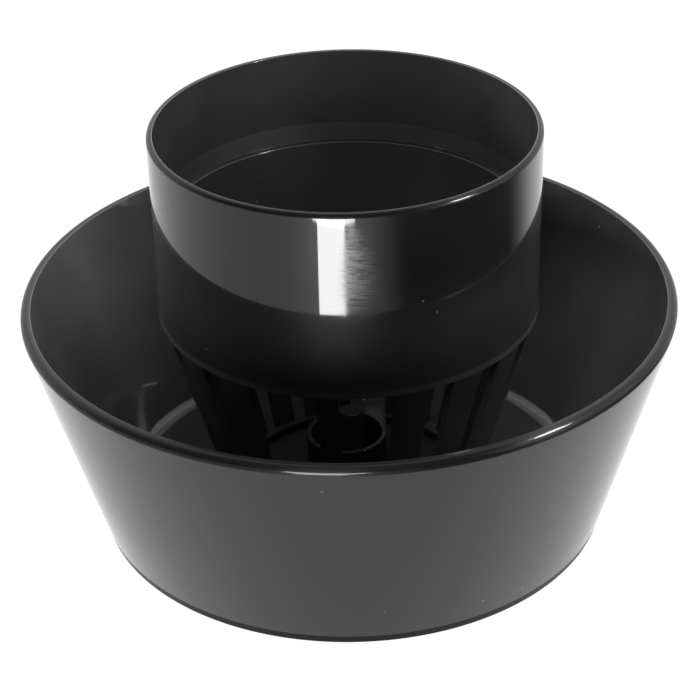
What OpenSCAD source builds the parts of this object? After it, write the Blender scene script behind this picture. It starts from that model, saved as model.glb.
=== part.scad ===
// Pipe flange with a deep conical bowl: a straight pipe collar is carried on the bowl's
// floor by a cage of tapering slats. Millimetres, +Z up, origin at the centre of the
// underside, front of the cage facing -Y.

/* [Bowl] */
// Outer radius of the bowl at its rim
rim_r = 101.5; // [95:0.5:120]
// Outer radius of the bowl at its base
base_r = 80.9; // [78:0.1:90]
// Height of the bowl
bowl_h = 76; // [70:1:80]
// Width of the rim across its top, from the inner edge to the outer
rim_land = 3.1; // [2.5:0.1:5]
// Radius that rounds the outer edge of the rim
rim_round = 2; // [0.8:0.1:2.2]
// Inside radius of the wall where it meets the floor
floor_r = 75.3; // [72:0.1:77]
// Thickness of the floor
floor_t = 3; // [2:0.5:5]
// Slope of the floor bead where it meets the wall, in degrees
bead_slope = 43; // [20:1:60]
// Radius of the floor bead's hollow face
bead_arc = 6; // [3:0.5:8]

/* [Collar] */
// Outside diameter of the pipe that the collar takes
pipe_d = 114.3; // [110:0.1:116]
// Radial clearance between the pipe and the socket
socket_clearance = 0.1; // [0.05:0.05:0.5]
// Wall thickness of the collar
collar_t = 1.9; // [1.5:0.1:3]
// Height of the collar's lip above the underside
collar_top = 130.8; // [115:0.1:150]
// Height of the collar's lower end
collar_foot = 73.5; // [73:0.5:80]
// Depth of the socket, from the lip to the pipe stop
socket_depth = 24.9; // [15:0.1:40]
// Wall thickness of the inner sleeve
sleeve_t = 1.9; // [1.2:0.1:3]
// How far the bore narrows at the pipe stop
seat_step = 0.8; // [0.6:0.1:1.2]
// Height over which the bore narrows
seat_run = 6; // [1:0.5:10]
// Radius that rounds the outer edge of the lip
lip_round = 1.2; // [0.3:0.1:1.3]

/* [Cage] */
// Height of the ring under the collar
top_ring_h = 2; // [1.5:0.5:4]
// Height of the ring on the floor
foot_ring_h = 3; // [2:0.5:6]
// How far the slats lean in from the vertical, in degrees
slat_lean = 16.3; // [8:0.1:17]
// Radial thickness of a slat
slat_t = 2.2; // [1.5:0.1:4]
// Width of a slat around the axis, in degrees
slat_width = 11; // [8:0.5:13]
// Width of the bar in the front opening, in degrees
bar_width = 6.7; // [4:0.1:8]
// How far round from the front the bar stands, in degrees
bar_place = -7; // [-8:0.5:-5]

/* [Post and lug] */
// Radius of the post
post_r = 3.6; // [2:0.1:5]
// Height of the post's flat top above the underside
post_top = 30.3; // [25:0.1:45]
// Outside radius of the lug
lug_r = 12.9; // [10:0.1:16]
// Wall thickness of the lug around its hole
lug_t = 1.5; // [1:0.1:3]
// Height of the lug's top above the underside
lug_top = 22.3; // [12:0.1:24]
// Sideways place of the lug's hole
lug_x = -1.7; // [-3:0.1:3]
// How far the lug's tail reaches back from the hole's centre
tail_reach = 21; // [18:0.5:24]

/* [Hidden] */
$fn = 96;

slat_places = 20;
slat_pitch = 360 / slat_places;
front = -90;
bore_r = pipe_d / 2 + socket_clearance;
collar_r = bore_r + collar_t;
seat_r = bore_r - seat_step;
sleeve_r = seat_r - sleeve_t;
stop_z = collar_top - socket_depth;
sleeve_top = stop_z - seat_run;
slat_top = collar_foot - top_ring_h;
slat_foot = floor_t + foot_ring_h;
lean = tan(slat_lean);
// Outer radius of the cage at height z
function cage_r(z) = collar_r - (slat_top - z) * lean;
// Outer radius of the bowl at height z
function wall_r(z) = base_r + (rim_r - base_r) * z / bowl_h;
// Quarter circle from one angle to another, about a centre
function arc(cx, cz, r, from, to, steps = 8) =
    [for (i = [0:steps]) let (a = from + (to - from) * i / steps) [cx + r * cos(a), cz + r * sin(a)]];

module bowl_wall() {
    color("#161617")
    rotate_extrude($fn = 180)
    polygon(concat(
        [[floor_r, floor_t], [wall_r(floor_t), floor_t]],
        arc(rim_r - rim_round, bowl_h - rim_round, rim_round, 0, 90),
        [[rim_r - rim_land, bowl_h]]
    ));
}

module bowl_floor() {
    color("#161617")
    cylinder(h = floor_t, r1 = base_r, r2 = wall_r(floor_t), $fn = 180);
}

module floor_bead() {
    bead_w = bead_arc * sin(bead_slope);
    wall_lean = (rim_r - rim_land - floor_r) / (bowl_h - floor_t);
    bead_h = bead_arc * (1 - cos(bead_slope));
    color("#1c1c1d")
    rotate_extrude($fn = 180)
    polygon(concat(
        [[floor_r, floor_t]],
        [[floor_r + bead_h * wall_lean, floor_t + bead_h]],
        arc(floor_r - bead_w, floor_t + bead_arc, bead_arc, bead_slope - 90, -90)
    ));
}

module pipe_collar() {
    color("#18181a")
    rotate_extrude($fn = 180)
    polygon(concat(
        [[seat_r, collar_foot], [collar_r, collar_foot]],
        arc(collar_r - lip_round, collar_top - lip_round, lip_round, 0, 90),
        [[bore_r, collar_top], [bore_r, stop_z], [seat_r, sleeve_top]]
    ));
}

// Ring with upright faces, its lower face at height z
module ring(z, height, inner, outer) {
    difference() {
        translate([0, 0, z])
        cylinder(h = height, r = outer, $fn = 180);
        translate([0, 0, z - 1])
        cylinder(h = height + 2, r = inner, $fn = 180);
    }
}

module stop_sleeve() {
    color("#18181a")
    ring(collar_foot, sleeve_top - collar_foot, sleeve_r, seat_r);
}

module cage_top_ring() {
    color("#18181a")
    ring(slat_top, top_ring_h, sleeve_r - slat_t, collar_r);
}

module foot_ring() {
    color("#18181a")
    ring(floor_t, foot_ring_h, cage_r(slat_foot) - 2 * slat_t, cage_r(slat_foot));
}

// A leaning strip of the cage: width in degrees, centred at a place around the axis
module strip(place, width) {
    rotate([0, 0, front + place - width / 2])
    rotate_extrude(angle = width, $fn = 180)
    polygon([
        [cage_r(slat_foot) - slat_t, slat_foot],
        [cage_r(slat_foot), slat_foot],
        [cage_r(slat_top), slat_top],
        [cage_r(slat_top) - slat_t, slat_top]
    ]);
}

module slat(index) {
    color("#18181a")
    strip(index * slat_pitch, slat_width);
}

module latch_bar() {
    color("#18181a")
    strip(bar_place, bar_width);
}

module centre_post() {
    cap_round = 0.4;
    color("#1c1c1d")
    rotate_extrude()
    polygon(concat(
        [[0, floor_t], [post_r, floor_t]],
        arc(post_r - cap_round, post_top - cap_round, cap_round, 0, 90, 4),
        [[0, post_top]]
    ));
}

module centre_lug() {
    lug_h = lug_top - floor_t;
    tail_w = lug_r - lug_t;
    color("#1c1c1d")
    translate([lug_x, 0, floor_t])
    difference() {
        union() {
            cylinder(h = lug_h, r = lug_r);
            translate([lug_t, 0, 0])
            cube([tail_w, tail_reach, lug_h]);
        }
        translate([0, 0, -1])
        cylinder(h = lug_h + 2, r = lug_r - lug_t);
    }
}

bowl_wall();
bowl_floor();
floor_bead();
pipe_collar();
stop_sleeve();
cage_top_ring();
foot_ring();
slat(1);  // slat_01
slat(2);  // slat_02
slat(3);  // slat_03
slat(4);  // slat_04
slat(5);  // slat_05
slat(6);  // slat_06
slat(7);  // slat_07
slat(8);  // slat_08
slat(9);  // slat_09
slat(10);  // slat_10
slat(11);  // slat_11
slat(12);  // slat_12
slat(13);  // slat_13
slat(14);  // slat_14
slat(15);  // slat_15
slat(16);  // slat_16
slat(17);  // slat_17
slat(18);  // slat_18
latch_bar();
centre_post();
centre_lug();
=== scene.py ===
"""Toilet flange: a glossy black pipe collar on a slatted cage in a deep conical bowl.

Every CAD node is replaced by a finely turned moulding of the same size, one piece a node,
so that the gloss reflects cleanly. Metres, +Z up, front of the cage facing -Y.
"""
import math

import bmesh
import bpy
from mathutils import Matrix, Vector


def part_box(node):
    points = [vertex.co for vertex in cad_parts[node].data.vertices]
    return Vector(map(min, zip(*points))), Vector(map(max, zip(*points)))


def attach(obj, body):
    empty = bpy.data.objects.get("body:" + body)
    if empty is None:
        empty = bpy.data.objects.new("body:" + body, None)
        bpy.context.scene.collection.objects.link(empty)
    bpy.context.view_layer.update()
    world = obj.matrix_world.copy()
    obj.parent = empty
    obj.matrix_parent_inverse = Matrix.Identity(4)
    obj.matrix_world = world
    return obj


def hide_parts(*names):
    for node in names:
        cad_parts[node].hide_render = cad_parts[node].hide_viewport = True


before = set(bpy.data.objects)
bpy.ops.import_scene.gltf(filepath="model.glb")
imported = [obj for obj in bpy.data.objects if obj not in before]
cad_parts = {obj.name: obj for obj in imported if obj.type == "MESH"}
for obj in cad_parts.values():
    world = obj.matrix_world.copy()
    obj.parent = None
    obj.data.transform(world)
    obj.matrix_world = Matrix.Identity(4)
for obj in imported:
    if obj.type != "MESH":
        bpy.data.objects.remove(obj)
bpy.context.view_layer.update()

MM = 0.001
TAU = 2 * math.pi
# Steps round the axis in a turned piece
AROUND = 288
# Points nearer the axis than this are on it
ON_AXIS = 1e-7
# Points nearer in height than this are on one level
SAME_LEVEL = 0.05 * MM


# ------------------------------------------------------------------ sizes read from the frame
def corners_of(node):
    return [vertex.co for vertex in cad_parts[node].data.vertices]


def extent(node):
    """Inner radius, outer radius, foot and top of a node that stands round the axis."""
    across = [math.hypot(point.x, point.y) for point in corners_of(node)]
    heights = [point.z for point in corners_of(node)]
    return min(across), max(across), min(heights), max(heights)


def girth(node, height):
    """Inner and outer radius of a node at one height."""
    across = [math.hypot(p.x, p.y) for p in corners_of(node) if abs(p.z - height) < SAME_LEVEL]
    return min(across), max(across)


def sweep(node):
    """Middle and half width, as angles round the axis, of a node off the axis."""
    points = corners_of(node)
    middle = math.atan2(sum(p.y for p in points), sum(p.x for p in points))
    turned = [Matrix.Rotation(-middle, 3, "Z") @ p for p in points]
    return middle, max(abs(math.atan2(p.y, p.x)) for p in turned)


FLOOR_R, RIM_R, FLOOR_T, RIM_Z = extent("bowl_wall")
FLOOR_EDGE = extent("bowl_floor")[1]
BASE_R = FLOOR_EDGE - (RIM_R - FLOOR_EDGE) * FLOOR_T / (RIM_Z - FLOOR_T)
BASE_ROUND = 0.8 * MM
RIM_LAND = 3.1 * MM
RIM_ROUND = 2.0 * MM
WALL_LEAN = math.atan2(RIM_R - FLOOR_EDGE, RIM_Z - RIM_ROUND - FLOOR_T)
# Where the rim's outer corner would be if it were sharp: its rounding then reaches just to RIM_R
RIM_CORNER = RIM_R + RIM_ROUND * (1 / math.cos(WALL_LEAN) + math.tan(WALL_LEAN) - 1)
BEAD_IN, BEAD_OUT, _, BEAD_TOP = extent("floor_bead")
BEAD_ARC = 5.8 * MM
SEAT_R, COLLAR_R, COLLAR_FOOT, COLLAR_TOP = extent("pipe_collar")
SLEEVE_TOP = extent("stop_sleeve")[3]
COLLAR_WALL = 1.9 * MM
BORE_R = COLLAR_R - COLLAR_WALL
SOCKET_DEPTH = 24.9 * MM
LIP_ROUND = 1.2 * MM
SLAT_ROUND = 0.5 * MM
LUG_WALL = 1.5 * MM
LUG_ROUND = 0.35 * MM
_, POST_R, _, POST_TOP = extent("centre_post")
POST_ROUND = 0.4 * MM
# Small rounding of the edges that have no size of their own
EDGE = 0.3 * MM


# ------------------------------------------------------------------ outlines and pieces
# A corner of an outline is (across, up, rounding, finish). SHARP is no rounding at all, and the
# finish is the place of a material in its piece's list.
SHARP = 0
PLAIN = 0
CUT = 1


def rounded(corners, steps=10, hold=0.06 * MM):
    """Closed outline through corners: a list of (across, up, finish, sharp).

    Each rounding is an arc with a holding point just outside both of its ends, so that the
    straight stretches stay flat under smooth shading. The finish is the material of the
    rounding and of the stretch that follows it.
    """
    outline = []
    for index, (across, up, rounding, finish) in enumerate(corners):
        corner = Vector((across, up))
        if rounding == SHARP:
            outline.append((across, up, finish, True))
            continue
        before = (Vector(corners[index - 1][:2]) - corner).normalized()
        after = (Vector(corners[(index + 1) % len(corners)][:2]) - corner).normalized()
        half = before.angle(after) / 2
        run = rounding / math.tan(half)
        start = corner + before * run
        end = corner + after * run
        centre = corner + (before + after).normalized() * rounding / math.sin(half)
        first = math.atan2(*(start - centre).yx)
        swing = (math.atan2(*(end - centre).yx) - first + math.pi) % TAU - math.pi
        previous = corners[index - 1][3]
        outline.append((*(start + before * hold), previous, False))
        for step in range(steps + 1):
            angle = first + swing * step / steps
            point = centre + rounding * Vector((math.cos(angle), math.sin(angle)))
            outline.append((*point, finish, False))
        outline.append((*(end + after * hold), finish, False))
    return outline


def divided(outline, longest):
    """The outline with its stretches cut into steps no longer than the longest allowed."""
    fine = []
    for index, (across, up, finish, sharp) in enumerate(outline):
        following = outline[(index + 1) % len(outline)]
        pieces = max(1, math.ceil(math.hypot(following[0] - across, following[1] - up) / longest))
        fine.append((across, up, finish, sharp))
        for cut in range(1, pieces):
            share = cut / pieces
            fine.append((across + (following[0] - across) * share, up + (following[1] - up) * share,
                         finish, False))
    return fine


def finish_piece(node, mesh, materials):
    """Makes the piece that stands for one CAD node and rides where the node rides."""
    bmesh.ops.recalc_face_normals(mesh, faces=mesh.faces)
    data = bpy.data.meshes.new(node + "_moulding")
    mesh.to_mesh(data)
    mesh.free()
    for material in materials:
        data.materials.append(material)
    piece = bpy.data.objects.new(node + "_moulding", data)
    bpy.context.scene.collection.objects.link(piece)
    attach(piece, "root")
    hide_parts(node)
    return piece


def turn(node, outline, materials):
    """Spins an outline round the axis. Points on the axis become poles."""
    mesh = bmesh.new()
    rings = []
    for across, up, _, _ in outline:
        places = 1 if across < ON_AXIS else AROUND
        rings.append([mesh.verts.new((across * math.cos(TAU * k / AROUND),
                                      across * math.sin(TAU * k / AROUND), up)) for k in range(places)])
    for index, ring in enumerate(rings):
        following = rings[(index + 1) % len(rings)]
        if len(ring) == 1 and len(following) == 1:
            continue
        for k in range(AROUND):
            nearby = (k + 1) % AROUND
            loop = [ring[k % len(ring)], ring[nearby % len(ring)],
                    following[nearby % len(following)], following[k % len(following)]]
            face = mesh.faces.new(list(dict.fromkeys(loop)))
            face.smooth = True
            face.material_index = outline[index][2]
    for (_, _, _, sharp), ring in zip(outline, rings):
        if sharp and len(ring) > 1:
            for k in range(AROUND):
                mesh.edges.get((ring[k], ring[(k + 1) % AROUND])).smooth = False
    return finish_piece(node, mesh, materials)


def ring_piece(node, materials, outer_edge=EDGE):
    """An upright ring with softened edges. A sharp outer edge runs flush into its neighbours."""
    inner, outer, foot, top = extent(node)
    outline = rounded([(inner, foot, EDGE, PLAIN), (outer, foot, outer_edge, PLAIN),
                       (outer, top, outer_edge, PLAIN), (inner, top, EDGE, PLAIN)], steps=4)
    return turn(node, outline, materials)


def strip_piece(node, materials):
    """A leaning strip of the cage: one rounded section drawn straight from foot to top."""
    longest = 1.2 * MM
    _, _, foot, top = extent(node)
    middle, half = sweep(node)
    _, low_out = girth(node, foot)
    top_in, top_out = girth(node, top)
    width = half * top_out
    deep = top_out - top_in
    outline = rounded([(-width, 0, SLAT_ROUND, PLAIN), (width, 0, SLAT_ROUND, PLAIN),
                       (width, deep, SLAT_ROUND, PLAIN), (-width, deep, SLAT_ROUND, PLAIN)], steps=5)
    section = divided(outline, longest)
    mesh = bmesh.new()
    rings = []
    for height, outer in ((foot, low_out), (top, top_out)):
        ring = []
        for across, depth, _, _ in section:
            angle = middle + across / top_out
            radius = outer - depth
            ring.append(mesh.verts.new((radius * math.cos(angle), radius * math.sin(angle), height)))
        rings.append(ring)
    for k in range(len(section)):
        nearby = (k + 1) % len(section)
        side = mesh.faces.new((rings[0][k], rings[0][nearby], rings[1][nearby], rings[1][k]))
        side.smooth = True
    for ring in rings:
        mesh.faces.new(ring)
        for k in range(len(ring)):
            mesh.edges.get((ring[k], ring[(k + 1) % len(ring)])).smooth = False
    return finish_piece(node, mesh, materials)


def soften(piece):
    """Rounds every edge at which a piece turns by more than 40 degrees."""
    bevel = piece.modifiers.new("soft_edges", "BEVEL")
    bevel.width = LUG_ROUND
    bevel.segments = 3
    bevel.limit_method = "ANGLE"
    bevel.angle_limit = math.radians(40)
    bevel.harden_normals = True


def lug_piece(node, materials):
    """The lug: a ring whose back runs on into a square tail, with all its edges softened."""
    steps = 72
    low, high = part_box(node)
    radius = (high.x - low.x) / 2
    centre = (high.x + low.x) / 2
    bore = radius - LUG_WALL
    join = math.acos(LUG_WALL / radius)
    outer = [(radius, 0.0), (radius, high.y), (LUG_WALL, high.y)]
    outer += [(radius * math.cos(a), radius * math.sin(a))
              for a in (join + (TAU - join) * k / steps for k in range(steps))]
    hole = [(bore * math.cos(TAU * k / steps), bore * math.sin(TAU * k / steps)) for k in range(steps)]
    mesh = bmesh.new()
    levels = []
    for height in (low.z, high.z):
        edges = []
        loops = []
        for points in (outer, hole):
            ring = [mesh.verts.new((centre + x, y, height)) for x, y in points]
            edges += [mesh.edges.new((ring[k], ring[(k + 1) % len(ring)])) for k in range(len(ring))]
            loops.append(ring)
        bmesh.ops.triangle_fill(mesh, use_beauty=True, edges=edges)
        levels.append(loops)
    for below, above in zip(*levels):
        for k in range(len(below)):
            nearby = (k + 1) % len(below)
            mesh.faces.new((below[k], below[nearby], above[nearby], above[k])).smooth = True
    piece = finish_piece(node, mesh, materials)
    soften(piece)
    return piece


# ------------------------------------------------------------------ camera
def make_camera():
    """Stands about three bowl widths off, 29 degrees up, turned a little about its own axis."""
    distance = 6.29 * RIM_R
    height = math.radians(29.0)
    pitch = math.radians(30.79)
    roll = math.radians(-1.35)
    data = bpy.data.cameras.new("camera")
    data.sensor_width = 36.0
    data.lens = 105.48
    data.clip_start = 0.05
    camera = bpy.data.objects.new("camera", data)
    bpy.context.scene.collection.objects.link(camera)
    place = Vector((0.0, -distance * math.cos(height), RIM_Z + distance * math.sin(height)))
    aim = Matrix.Rotation(math.radians(90.0) - pitch, 4, "X") @ Matrix.Rotation(roll, 4, "Z")
    camera.matrix_world = Matrix.Translation(place) @ aim
    bpy.context.scene.camera = camera


# ------------------------------------------------------------------ materials
# Brightness of the black itself, and of the dust specks on it
SKIN_TONE = 0.004
SPECK_TONE = 0.12
# What the glow of painted light adds everywhere, and what it adds at most on the left and on the right
EVEN_PAINTED_GLOW = 0.002
LEFT_PAINTED_GLOW = 0.08
RIGHT_PAINTED_GLOW = 0.045
# Painted light on the inner faces above the cage, and what more they get towards the collar's mouth,
# where light falls in
INNER_PAINTED_LIGHT = 0.035
MOUTH_PAINTED_LIGHT = 0.03
# Strength of the hazy reflection under the clear skin, on outer and on inner faces
SKIN_HAZE = 0.1
CORE_HAZE = 0.2
# Height under which the outer faces of the collar and the cage carry the painted glow too
PAINTED_GLOW_TOP = 100 * MM
# Spacing of the cells that a speck can be in, and the share of them that have one
SPECK_CELL = 4.2 * MM
SPECK_SHARE = 0.05
# Radius at which an angle round the axis is turned into a length
UNROLL_R = 80 * MM
# Middle of the rubbed patch: metres round the axis from the front, metres up
SCUFF_PLACE = (5 * MM, 112 * MM, 0)
# Grain of each kind of mark before its slant: cells a metre round the axis, up it and away from it
SCRATCH_GRAIN = (70, 2600, 40)
SCUFF_GRAIN = (90, 1500, 0)
RIPPLE_GRAIN = (60, 14, 60)
RING_GRAIN = (12, 2600, 3400)


class Graph:
    """A node tree under construction: add() makes a node and joins or sets its inputs by name."""

    def __init__(self, tree):
        self.tree = tree

    def feed(self, node, inputs):
        for key, value in inputs.items():
            socket = node.inputs[key]
            if isinstance(value, bpy.types.NodeSocket):
                self.tree.links.new(value, socket)
            else:
                socket.default_value = value
        return node

    def add(self, kind, inputs=None, **settings):
        node = self.tree.nodes.new("ShaderNode" + kind)
        for key, value in settings.items():
            setattr(node, key, value)
        return self.feed(node, inputs or {})

    def math(self, operation, first, second=0.0, third=0.0):
        node = self.add("Math", {0: first, 1: second, 2: third}, operation=operation)
        return node.outputs[0]

    def vector(self, operation, first, second=(0, 0, 0)):
        """The result of a vector operation that gives a vector."""
        return self.add("VectorMath", {0: first, 1: second}, operation=operation).outputs["Vector"]

    def measure(self, operation, first, second=(0, 0, 0)):
        """The result of a vector operation that gives a number."""
        return self.add("VectorMath", {0: first, 1: second}, operation=operation).outputs["Value"]

    def parts(self, vector):
        return self.add("SeparateXYZ", {0: vector}).outputs

    def span(self, value, low, high, to_low=0.0, to_high=1.0):
        """Carries a value from one range to another with soft ends."""
        node = self.add("MapRange", {"Value": value, "From Min": low, "From Max": high,
                                     "To Min": to_low, "To Max": to_high},
                        interpolation_type="SMOOTHSTEP")
        return node.outputs["Result"]

    def noise(self, vector, scale, detail=2.0, roughness=0.5):
        node = self.add("TexNoise", {"Vector": vector, "Scale": scale, "Detail": detail,
                                     "Roughness": roughness})
        return node.outputs["Fac"]

    def stretched(self, vector, turn_degrees, scale):
        """The vector turned about its third axis, then scaled, for marks that are long and thin."""
        turned = self.add("VectorRotate", {"Vector": vector, "Angle": math.radians(turn_degrees)},
                          rotation_type="Z_AXIS").outputs[0]
        return self.vector("MULTIPLY", turned, scale)

    def unrolled(self):
        """The place on the surface, and the same place as metres round the axis, up and away from it."""
        place = self.add("TexCoord").outputs["Object"]
        x, y, z = self.parts(place)
        radius = self.math("SQRT", self.math("MULTIPLY_ADD", x, x, self.math("MULTIPLY", y, y)))
        angle = self.math("ARCTAN2", x, self.math("MULTIPLY", y, -1.0))
        along = self.math("MULTIPLY", angle, UNROLL_R)
        return place, self.add("CombineXYZ", {0: along, 1: z, 2: radius}).outputs[0]


class Shader(Graph):
    """A material under construction."""

    def __init__(self, name):
        self.material = bpy.data.materials.new(name)
        self.material.use_nodes = True
        super().__init__(self.material.node_tree)
        self.principled = self.tree.nodes["Principled BSDF"]


def scratches(shader, place, flat):
    """Fine straight marks, in patches, that cross at several slants and are some millimetres long."""
    marks = None
    for slant, seed in ((8, 0.3), (62, 1.7), (-35, 3.1), (95, 5.9)):
        moved = shader.vector("ADD", flat, (seed, seed, seed))
        lines = shader.noise(shader.stretched(moved, slant, SCRATCH_GRAIN), 1.0, 1.0)
        thin = shader.span(lines, 0.735, 0.79)
        marks = thin if marks is None else shader.math("MAXIMUM", marks, thin)
    patches = shader.span(shader.noise(place, 14.0, 2.0), 0.42, 0.68)
    return shader.math("MULTIPLY", marks, patches)


def scuffs(shader, flat):
    """A rubbed patch on the front of the collar: short level marks, closest at its middle."""
    off = shader.vector("SUBTRACT", flat, SCUFF_PLACE)
    reach = shader.measure("LENGTH", shader.vector("MULTIPLY", off, (1, 0.62, 0)))
    lines = shader.noise(shader.stretched(flat, 4, SCUFF_GRAIN), 1.0, 3.0, 0.7)
    return shader.math("MULTIPLY", shader.span(lines, 0.35, 0.62, 0.35, 1.0),
                       shader.span(reach, 2 * MM, 13 * MM, 1.0, 0.0))


def specks(shader, place):
    """Dust: a small dot in a few cells of a fine cellular pattern."""
    cells = shader.add("TexVoronoi", {"Vector": place, "Scale": 1 / SPECK_CELL, "Randomness": 1.0})
    dot = shader.span(cells.outputs["Distance"], 0.05, 0.12, 1.0, 0.0)
    pick = shader.add("SeparateColor", {0: cells.outputs["Color"]}).outputs[0]
    chosen = shader.math("GREATER_THAN", pick, 1.0 - SPECK_SHARE)
    return shader.math("MULTIPLY", dot, chosen)


def painted_glow(shader, place):
    """A glow of painted light: how much it lightens the black, most of it at the two sides of the bowl.

    The slant is how high a place stands in a view from 31 degrees above the front.
    """
    across, back, up = shader.parts(place)
    slant = shader.math("MULTIPLY_ADD", up, 0.86, shader.math("MULTIPLY", back, 0.51))
    # Painted light on the left and on the right of the bowl, fading with the slant
    left = shader.math("MULTIPLY", shader.span(across, -105 * MM, -10 * MM, 1.0, 0.0),
                       shader.span(slant, -10 * MM, 65 * MM, 0.1, 1.0))
    right = shader.math("MULTIPLY", shader.span(across, 0, 95 * MM),
                        shader.span(slant, 50 * MM, 92 * MM, 1.0, 0.05))
    both = shader.math("MULTIPLY_ADD", shader.math("POWER", left, 1.5), LEFT_PAINTED_GLOW,
                       shader.math("MULTIPLY", right, RIGHT_PAINTED_GLOW))
    return shader.math("ADD", both, EVEN_PAINTED_GLOW)


def core_faces(shader, place, normal):
    """1 on the faces towards the axis, which the mould's core makes, and 0 on the others."""
    outward = shader.vector("NORMALIZE", shader.vector("MULTIPLY", place, (1, 1, 0)))
    return shader.span(shader.measure("DOT_PRODUCT", normal, outward), -0.5, 0.2, 1.0, 0.0)


def body_tone(shader, place, normal, core_side, painted_glow_below, painted_glow_sides, painted_glow_inside):
    """How light the black is: the skin with its painted glow, or the painted light on the inner faces
    where that is lighter.
    """
    fade = 12 * MM
    level = shader.parts(place)["Z"]
    upward = shader.parts(normal)["Z"]
    low_down = shader.span(level, painted_glow_below - fade, painted_glow_below + fade, 1.0, 0.0)
    # Share of the painted glow: outer faces low down and all inner faces, scaled on faces that don't look
    # up and on inner faces
    glow_share = shader.math("MULTIPLY", shader.math("MAXIMUM", core_side, low_down),
                         shader.span(upward, 0.4, 0.9, painted_glow_sides, 1.0))
    glow_share = shader.math("MULTIPLY", glow_share,
                         shader.math("MULTIPLY_ADD", core_side, painted_glow_inside - 1.0, 1.0))
    # Painted light on the inner faces: lighter higher up, and most near the collar's mouth
    inner_light = shader.math("ADD", shader.span(level, 55 * MM, 80 * MM, 0.0, INNER_PAINTED_LIGHT),
                         shader.span(level, 100 * MM, 128 * MM, 0.0, MOUTH_PAINTED_LIGHT))
    inner_light = shader.math("MULTIPLY", core_side, inner_light)
    # The skin's black with the painted glow added
    skin = shader.math("MULTIPLY_ADD", glow_share, painted_glow(shader, place), SKIN_TONE)
    return shader.math("MAXIMUM", inner_light, skin)


def gloss_black(name, polish=0.03, coat=1.0, cut=False, painted_glow_below=0.0, painted_glow_sides=1.0, painted_glow_inside=1.0,
                haze=(SKIN_HAZE, CORE_HAZE), scuffed=False):
    """Glossy black ABS: a clear skin over a hazy deep black, with handling marks.

    Polish and coat are the skin's roughness and weight, and haze is how strongly the black
    under it reflects, on outer and on inner faces. A glow of painted light lightens the black:
    outer faces have it below the height painted_glow_below, inner faces have it all over. It is
    multiplied by painted_glow_sides on faces that don't look up, and by painted_glow_inside on
    inner faces. A scuffed piece has the rubbed patch on its outer face. A cut edge has fine
    marks that run round the axis and draw its highlights out across them.
    """
    shader = Shader(name)
    place, flat = shader.unrolled()
    normal = shader.add("NewGeometry").outputs["Normal"]
    core_side = core_faces(shader, place, normal)
    cloud = shader.noise(place, 22.0, 4.0, 0.55)
    marks = scratches(shader, place, flat)
    tone = body_tone(shader, place, normal, core_side, painted_glow_below, painted_glow_sides, painted_glow_inside)
    tone = shader.math("MULTIPLY", tone, shader.span(cloud, 0.25, 0.75, 0.75, 1.25))
    grey = shader.math("MAXIMUM", tone, shader.math("MULTIPLY", specks(shader, place), SPECK_TONE))
    colour = shader.add("CombineColor", {0: grey, 1: grey, 2: shader.math("MULTIPLY", grey, 1.03)})
    ripple = shader.noise(shader.stretched(flat, 0, RIPPLE_GRAIN), 1.0, 2.0)
    height = shader.math("MULTIPLY_ADD", marks, -0.35, shader.math("MULTIPLY", ripple, 0.5))
    if cut:
        rings = shader.noise(shader.stretched(flat, 0, RING_GRAIN), 1.0, 3.0)
        height = shader.math("MULTIPLY_ADD", rings, 1.4, height)
    bump = shader.add("Bump", {"Height": height, "Strength": 1.0, "Distance": 0.02 * MM})
    clear = shader.span(cloud, 0.35, 0.75, polish, polish * 1.8)
    if scuffed:
        rubbed = shader.math("MULTIPLY", scuffs(shader, flat), shader.math("SUBTRACT", 1.0, core_side))
        clear = shader.math("MULTIPLY_ADD", rubbed, 0.32, clear)
    shader.feed(shader.principled, {
        "Base Color": colour.outputs[0],
        "Roughness": shader.span(cloud, 0.3, 0.7, 0.38, 0.48),
        "IOR": 1.5,
        "Specular IOR Level": shader.math("MULTIPLY_ADD", core_side, haze[1] - haze[0], haze[0]),
        "Coat Weight": coat,
        "Coat IOR": 1.42,
        "Coat Roughness": shader.math("MAXIMUM", clear, shader.math("MULTIPLY", marks, 0.3)),
        "Normal": bump.outputs[0],
        "Coat Normal": bump.outputs[0],
    })
    if cut:
        tangent = shader.add("Tangent", direction_type="RADIAL", axis="Z")
        shader.feed(shader.principled, {"Anisotropic": 0.9, "Anisotropic Rotation": 0.25,
                                        "Tangent": tangent.outputs[0]})
    return shader.material


# ------------------------------------------------------------------ surroundings
WHITE = (1, 1, 1, 1)
NEAR_BLACK = (0.02, 0.02, 0.02, 1)
# How far below the object's underside the table lies, and how far above it the black card
TABLE_SINK = 0.1 * MM
CARD_LIFT = 0.3 * MM


def dull_black(name):
    """A material that sends back next to nothing, to which a light or a fade can be added."""
    shader = Shader(name)
    shader.feed(shader.principled, {"Base Color": NEAR_BLACK, "Roughness": 1.0,
                                    "Specular IOR Level": 0.0})
    return shader


def make_floor():
    """A table that gives off plain white of its own, so that no shadow shows on it."""
    reach = 4.0
    mesh = bpy.data.meshes.new("floor")
    mesh.from_pydata([(-reach, -reach, 0), (reach, -reach, 0), (reach, reach, 0), (-reach, reach, 0)],
                     [], [(0, 1, 2, 3)])
    floor = bpy.data.objects.new("floor", mesh)
    bpy.context.scene.collection.objects.link(floor)
    floor.location.z = -TABLE_SINK
    shader = dull_black("floor")
    shader.feed(shader.principled, {"Emission Color": WHITE, "Emission Strength": 1.0})
    mesh.materials.append(shader.material)


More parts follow.
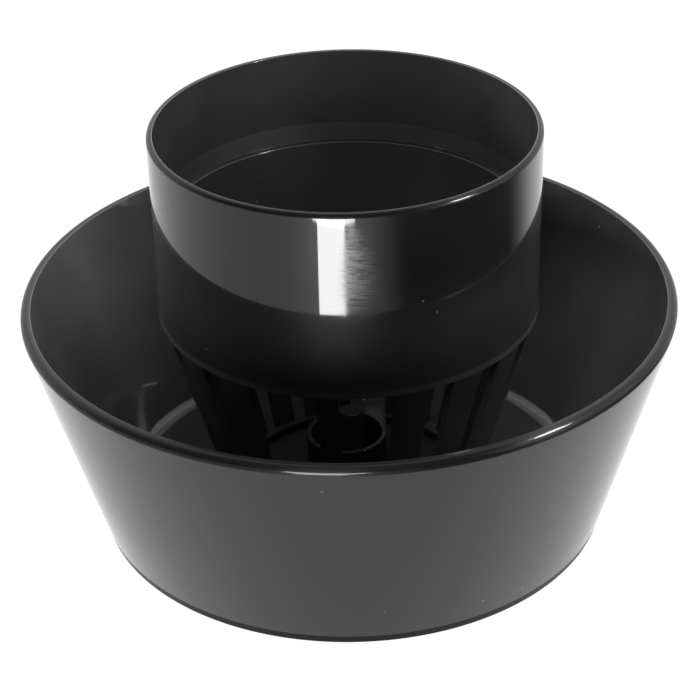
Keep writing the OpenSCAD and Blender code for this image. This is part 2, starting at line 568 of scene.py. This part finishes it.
def make_world():
    """White surroundings, seen plain. The gloss finds them dim in front, the body colour bright above."""
    world = bpy.data.worlds.new("studio")
    world.use_nodes = True
    shader = Graph(world.node_tree)
    direction = shader.parts(shader.add("TexCoord").outputs["Generated"])
    behind = shader.span(direction["Y"], -0.2, 0.5, 0.05, 1.2)
    above = shader.span(direction["Z"], 0.6, 0.95, 0.0, 4.5)
    path = shader.add("LightPath").outputs
    body = shader.math("MULTIPLY", above, shader.math("SUBTRACT", 1.0, path["Is Glossy Ray"]))
    strength = shader.math("MAXIMUM", shader.math("MAXIMUM", behind, body), path["Is Camera Ray"])
    shader.feed(world.node_tree.nodes["Background"], {"Color": WHITE, "Strength": strength})
    bpy.context.scene.world = world
    bpy.context.scene.view_settings.view_transform = "Standard"


def make_flag():
    """A black card laid on the table at the front and right, outside the picture.

    It darkens what the right half of the gloss reflects, and fades out to both sides and inwards.
    """
    inner = 1.55 * RIM_R
    outer = 6.0 * RIM_R
    full_out = 1.9 * RIM_R
    first = math.radians(5)
    full_from = math.radians(32)
    full_to = math.radians(95)
    last = math.radians(125)
    steps = 48
    vertices = []
    for k in range(steps + 1):
        angle = first + (last - first) * k / steps
        for radius in (inner, outer):
            vertices.append((radius * math.sin(angle), -radius * math.cos(angle), CARD_LIFT))
    faces = [(2 * k, 2 * k + 1, 2 * k + 3, 2 * k + 2) for k in range(steps)]
    mesh = bpy.data.meshes.new("black_card")
    mesh.from_pydata(vertices, [], faces)
    card_object = bpy.data.objects.new("black_card", mesh)
    bpy.context.scene.collection.objects.link(card_object)
    shader = dull_black("black_card")
    _, flat = shader.unrolled()
    along, _, away = shader.parts(flat)
    turned = shader.math("DIVIDE", along, UNROLL_R)
    fade = shader.math("MULTIPLY", shader.span(turned, first, full_from),
                       shader.span(turned, full_to, last, 1.0, 0.0))
    fade = shader.math("MULTIPLY", fade, shader.span(away, inner, full_out))
    shader.feed(shader.principled, {"Alpha": fade})
    mesh.materials.append(shader.material)
    card_object.visible_camera = False
    card_object.visible_diffuse = False
    card_object.visible_shadow = False


def softbox(name, centre, size, facing, strength):
    """A rectangular light that only the gloss sees. Its centre and its size are in rim radii."""
    width, height = (length * RIM_R for length in size)
    data = bpy.data.lights.new(name, "AREA")
    data.shape = "RECTANGLE"
    data.size = width
    data.size_y = height
    data.energy = strength * math.pi * width * height
    light = bpy.data.objects.new(name, data)
    bpy.context.scene.collection.objects.link(light)
    aim = Vector(facing).to_track_quat("-Z", "Y").to_matrix().to_4x4()
    light.matrix_world = Matrix.Translation([length * RIM_R for length in centre]) @ aim
    light.visible_camera = False
    light.visible_diffuse = False


def make_lights():
    """A low strip with a wider head in front, and a small key and a large weak panel at the right."""
    strip_aim = (0.1, 1, 0.1)
    strip_strength = 26.0
    softbox("strip", (-0.31, -2.2, 0.21), (0.52, 0.42), strip_aim, strip_strength)
    softbox("strip_head", (-0.25, -2.2, 0.58), (0.8, 0.32), strip_aim, strip_strength)
    softbox("right_key", (1.8, -1.1, 1.9), (0.4, 0.4), (-1.5, 0.7, -1.2), 110.0)
    softbox("right_panel", (4.2, -1.5, 2.4), (5.0, 3.6), (-4.2, 1.5, -1.7), 1.1)


# ------------------------------------------------------------------ the object
BOWL_BLACK = gloss_black("bowl_black")
# The collar and the cage carry the painted glow on their outer faces low down
COLLAR_BLACK = gloss_black("collar_black", painted_glow_below=PAINTED_GLOW_TOP, scuffed=True)
FLOOR_BLACK = gloss_black("floor_black", 0.06, 0.2, haze=(0.06, 0.06))
# The cage's faces that don't look up get three times the painted glow, and its inner faces a tenth of it
CAGE_BLACK = gloss_black("cage_black", 0.04, 0.12, painted_glow_below=PAINTED_GLOW_TOP, painted_glow_sides=3.0,
                         painted_glow_inside=0.1, haze=(0.03, 0.03))
CUT_BLACK = gloss_black("cut_black", 0.06, 0.4, cut=True)


def make_bowl():
    """The bowl's wall, its floor, and the bead in the corner between them."""
    wall = [(FLOOR_R, FLOOR_T, SHARP, PLAIN), (FLOOR_EDGE, FLOOR_T, SHARP, PLAIN),
            (RIM_CORNER, RIM_Z, RIM_ROUND, CUT), (RIM_R - RIM_LAND, RIM_Z, EDGE, PLAIN)]
    turn("bowl_wall", rounded(wall), [BOWL_BLACK, CUT_BLACK])
    floor = [(0, 0, SHARP, PLAIN), (BASE_R, 0, BASE_ROUND, PLAIN),
             (FLOOR_EDGE, FLOOR_T, SHARP, PLAIN), (0, FLOOR_T, SHARP, PLAIN)]
    turn("bowl_floor", rounded(floor), [FLOOR_BLACK])
    slope = 2 * math.atan((BEAD_TOP - FLOOR_T) / (FLOOR_R - BEAD_IN))
    hollow_r = FLOOR_R - (BEAD_TOP - FLOOR_T) / math.tan(slope)
    bead = [(FLOOR_R, FLOOR_T, SHARP, PLAIN), (BEAD_OUT, BEAD_TOP, SHARP, PLAIN),
            (FLOOR_R, BEAD_TOP, SHARP, PLAIN), (hollow_r, FLOOR_T, BEAD_ARC, PLAIN),
            (BEAD_IN, FLOOR_T, SHARP, PLAIN)]
    turn("floor_bead", rounded(bead), [BOWL_BLACK])


def make_collar():
    """The pipe collar with its socket and stop, and the sleeve under the stop."""
    collar = [(SEAT_R, COLLAR_FOOT, SHARP, PLAIN), (COLLAR_R, COLLAR_FOOT, SHARP, PLAIN),
              (COLLAR_R, COLLAR_TOP, LIP_ROUND, CUT), (BORE_R, COLLAR_TOP, EDGE, PLAIN),
              (BORE_R, COLLAR_TOP - SOCKET_DEPTH, SHARP, PLAIN), (SEAT_R, SLEEVE_TOP, SHARP, PLAIN)]
    turn("pipe_collar", rounded(collar), [COLLAR_BLACK, CUT_BLACK])
    ring_piece("stop_sleeve", [COLLAR_BLACK])


def make_cage():
    """The cage's two rings, its slats and its bar, and the post and the lug that stand in it."""
    ring_piece("cage_top_ring", [CAGE_BLACK], outer_edge=SHARP)
    ring_piece("foot_ring", [CAGE_BLACK])
    for name in sorted(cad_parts):
        if name.startswith("slat_") or name == "latch_bar":
            strip_piece(name, [CAGE_BLACK])
    post = [(0, FLOOR_T, SHARP, PLAIN), (POST_R, FLOOR_T, SHARP, PLAIN),
            (POST_R, POST_TOP, POST_ROUND, PLAIN), (0, POST_TOP, SHARP, PLAIN)]
    turn("centre_post", rounded(post), [CAGE_BLACK])
    lug_piece("centre_lug", [CAGE_BLACK])


make_camera()
make_bowl()
make_collar()
make_cage()
make_floor()
make_world()
make_flag()
make_lights()
